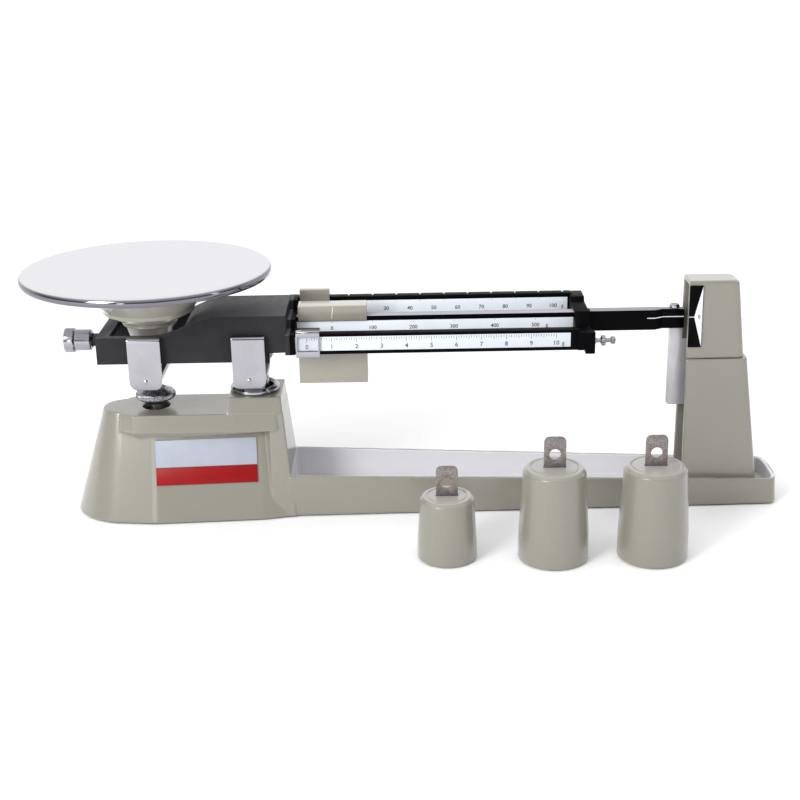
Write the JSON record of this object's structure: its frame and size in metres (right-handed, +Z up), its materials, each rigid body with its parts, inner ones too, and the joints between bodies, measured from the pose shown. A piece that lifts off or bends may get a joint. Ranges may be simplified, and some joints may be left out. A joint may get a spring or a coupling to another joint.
{
  "type": "triple beam balance",
  "caption": "Bench balance with a round pan on knife edges, three sliding-poise beams, a damped pointer tower and hang-on attachment weights.",
  "frame": {"origin": "bottom centre of the bounding box of the balance with its three weights standing in front of it, on the table plane", "axes": "+X from the pan towards the pointer tower, +Y away from the scale side, +Z up"},
  "size_m": [0.4666, 0.1864, 0.1553],
  "materials": {
    "enamel": "glossy grey-beige stove enamel",
    "black_paint": "semi-gloss black paint",
    "chrome": "bright chrome plating",
    "satin_steel": "satin stainless, circular grain",
    "steel": "plain machined or zinc-plated steel",
    "aluminium": "satin sheet",
    "scale_white": "printed white sheet",
    "label_white": "plain printed sheet",
    "label_red": "plain printed sheet",
    "index_black": "satin black",
    "rubber": "matte black rubber",
    "agate": "polished stone",
    "magnet": "dark ferrite block"
  },
  "bodies": {
    "base": {"base_casting": "enamel", "label_upper": "label_white", "label_lower": "label_red", "foot_left_front": "rubber", "foot_left_rear": "rubber", "foot_right_front": "rubber", "foot_right_rear": "rubber", "fulcrum_yoke": "steel", "fulcrum_ring": "chrome", "fulcrum_bearing_front": "agate", "fulcrum_bearing_rear": "agate", "fulcrum_cover_front": "chrome", "fulcrum_cover_rear": "chrome", "link_bracket": "steel", "link_pin": "steel", "tower_lower": "enamel", "tower_cap": "enamel", "tower_screw_left": "steel", "tower_screw_right": "steel", "index_plate": "index_black", "damper_magnet_front": "magnet", "damper_magnet_rear": "magnet", "magnet_keeper": "steel"},
    "beam": {"beam_casting": "black_paint", "fulcrum_knife": "steel", "load_knife_front": "steel", "load_knife_rear": "steel", "scale_plate_front": "scale_white", "scale_plate_middle": "scale_white", "scale_plate_rear": "scale_white", "zero_stud": "steel", "damping_vane": "aluminium", "pointer_screw": "chrome", "hanging_stud": "chrome"},
    "zero_insert": {"zero_insert": "steel"},
    "zero_knob": {"zero_knob": "chrome"},
    "rear_poise": {"rear_poise": "enamel"},
    "middle_poise": {"middle_poise": "enamel"},
    "front_rider": {"front_rider": "chrome"},
    "check_link": {"check_link": "steel"},
    "pan_carrier": {"pan_support_cone": "enamel", "pan_yoke": "steel", "pan_bearing_front": "agate", "pan_bearing_rear": "agate", "pan_cover_front": "chrome", "pan_cover_rear": "chrome", "pan_post": "steel", "pan_stem": "steel", "stem_disc": "chrome", "stem_pin": "steel"},
    "pan": {"pan": "satin_steel", "pan_locating_ring": "steel"},
    "weight_small": {"weight_small_body": "enamel", "weight_small_tab": "steel"},
    "weight_large_left": {"weight_large_left_body": "enamel", "weight_large_left_tab": "steel"},
    "weight_large_right": {"weight_large_right_body": "enamel", "weight_large_right_tab": "steel"}
  },
  "joints": [
    {"name": "beam_swing", "type": "hinge", "parent": "base", "child": "beam", "pos_m": [-0.0948, 0.0172, 0.108], "axis": [0, 1, 0], "range_deg": [-3, 3]},
    {"name": "pan_level", "type": "hinge", "parent": "beam", "child": "pan_carrier", "pos_m": [-0.1573, 0.0172, 0.108], "axis": [0, 1, 0], "range_deg": [-3, 3]},
    {"name": "check_link_swing", "type": "hinge", "parent": "base", "child": "check_link", "pos_m": [-0.0948, 0.0172, 0.035], "axis": [0, 1, 0], "range_deg": [-3, 3]},
    {"name": "pan_lift", "type": "slide", "parent": "pan_carrier", "child": "pan", "axis": [0, 0, 1], "range_m": [0, 0.04]},
    {"name": "rear_poise_slide", "type": "slide", "parent": "beam", "child": "rear_poise", "axis": [1, 0, 0], "range_m": [0, 0.15]},
    {"name": "middle_poise_slide", "type": "slide", "parent": "beam", "child": "middle_poise", "axis": [1, 0, 0], "range_m": [0, 0.125]},
    {"name": "front_rider_slide", "type": "slide", "parent": "beam", "child": "front_rider", "axis": [1, 0, 0], "range_m": [0, 0.15]},
    {"name": "zero_knob_travel", "type": "slide", "parent": "beam", "child": "zero_insert", "axis": [1, 0, 0], "range_m": [-0.0016, 0.0016]},
    {"name": "zero_knob_turn", "type": "hinge", "parent": "zero_insert", "child": "zero_knob", "pos_m": [-0.1993, 0.0172, 0.11], "axis": [1, 0, 0], "range_deg": [-1080, 1080]},
    {"name": "weight_small_lift", "type": "slide", "parent": "base", "child": "weight_small", "axis": [0, 0, 1], "range_m": [0, 0.06]},
    {"name": "weight_large_left_lift", "type": "slide", "parent": "base", "child": "weight_large_left", "axis": [0, 0, 1], "range_m": [0, 0.06]},
    {"name": "weight_large_right_lift", "type": "slide", "parent": "base", "child": "weight_large_right", "axis": [0, 0, 1], "range_m": [0, 0.06]}
  ],
  "couplings": [
    {"joint": "pan_level", "follows": "beam_swing", "ratio": -1},
    {"joint": "check_link_swing", "follows": "beam_swing", "ratio": 1},
    {"joint": "zero_knob_travel", "follows": "zero_knob_turn", "m_per_rad": 0.000079577}
  ]
}
